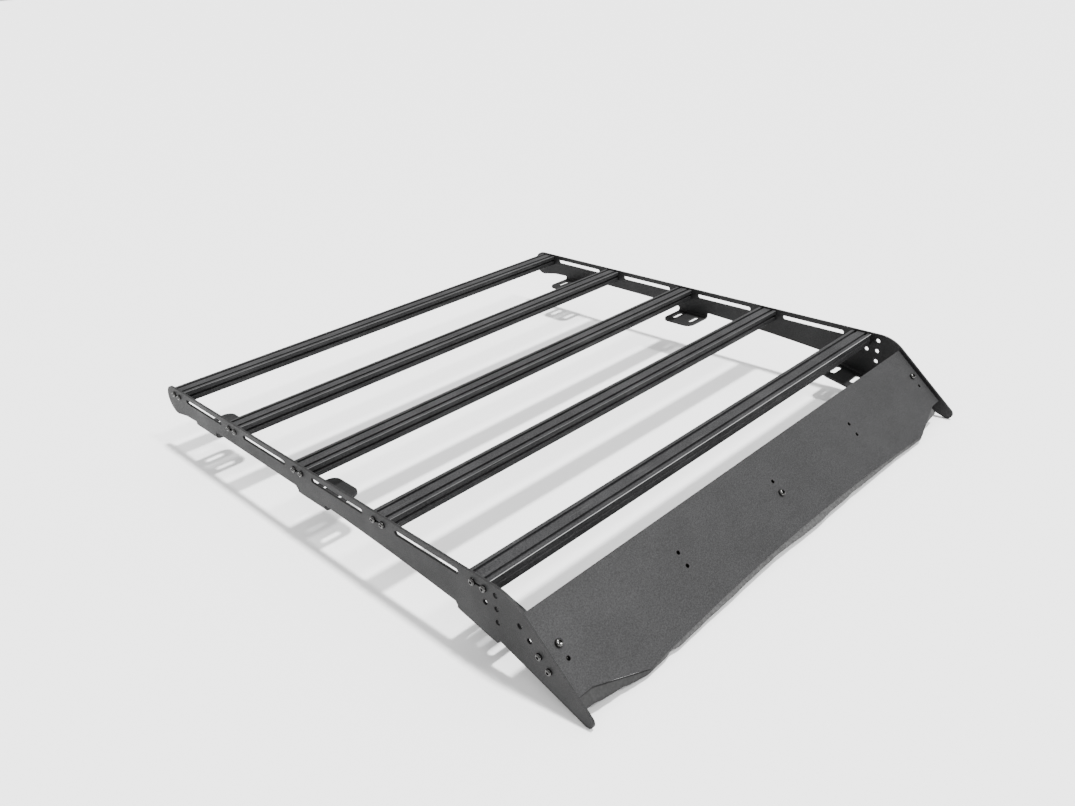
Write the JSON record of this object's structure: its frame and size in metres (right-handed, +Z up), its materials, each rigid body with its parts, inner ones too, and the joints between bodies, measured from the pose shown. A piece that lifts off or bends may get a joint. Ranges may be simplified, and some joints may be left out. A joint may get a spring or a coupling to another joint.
{
  "type": "roof rack",
  "caption": "Flat roof rack of slotted crossbars between two flanged side plates, with a raked wind fairing across the front.",
  "frame": {"origin": "midway between the two middle feet, at the height of their undersides", "axes": "+X across the rack, +Y towards its rear, away from the fairing, +Z up"},
  "size_m": [1.1906, 1.2948, 0.1568],
  "materials": {
    "plate": "textured black powder coat",
    "bar": "satin black powder coat",
    "fairing": "textured black powder coat",
    "bracket": "black powder coat",
    "trim": "matte extruded rubber"
  },
  "bodies": {
    "root": {"side_plate_left": "plate", "side_plate_right": "plate", "crossbar_1": "bar", "crossbar_2": "bar", "crossbar_3": "bar", "crossbar_4": "bar", "crossbar_5": "bar", "fairing": "fairing", "fairing_bracket_left": "bracket", "fairing_bracket_right": "bracket", "fairing_trim": "trim"}
  },
  "joints": []
}
